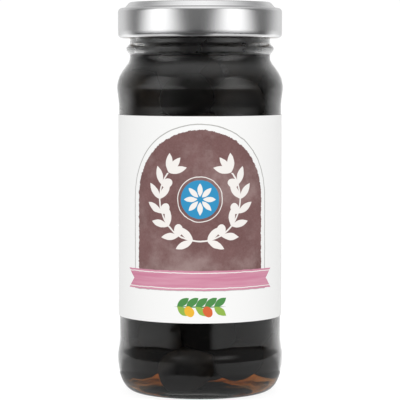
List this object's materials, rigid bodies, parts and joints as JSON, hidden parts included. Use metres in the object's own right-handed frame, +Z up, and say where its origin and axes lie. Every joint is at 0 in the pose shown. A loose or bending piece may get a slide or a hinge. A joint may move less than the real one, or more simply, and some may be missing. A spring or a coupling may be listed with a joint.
{
  "type": "jar of olives",
  "caption": "Tall round glass jar of black olives with a recessed label panel, a wrap-around paper label and a metal twist-off lid.",
  "frame": {"origin": "middle of the base, on the floor", "axes": "+Z up along the axis of the jar, -Y towards the front of the label"},
  "size_m": [0.062, 0.062, 0.1454],
  "materials": {
    "clear_glass": "clear, glossy, smooth",
    "silver_lid": "satin silver lacquer on tinplate",
    "label_paper": "white coated paper with a mauve-brown and pink print",
    "olive_skin": "smooth, dark, wet skin"
  },
  "bodies": {
    "root": {"jar_glass": "clear_glass", "lid": "silver_lid", "label": "label_paper", "olives": "olive_skin"}
  },
  "joints": []
}
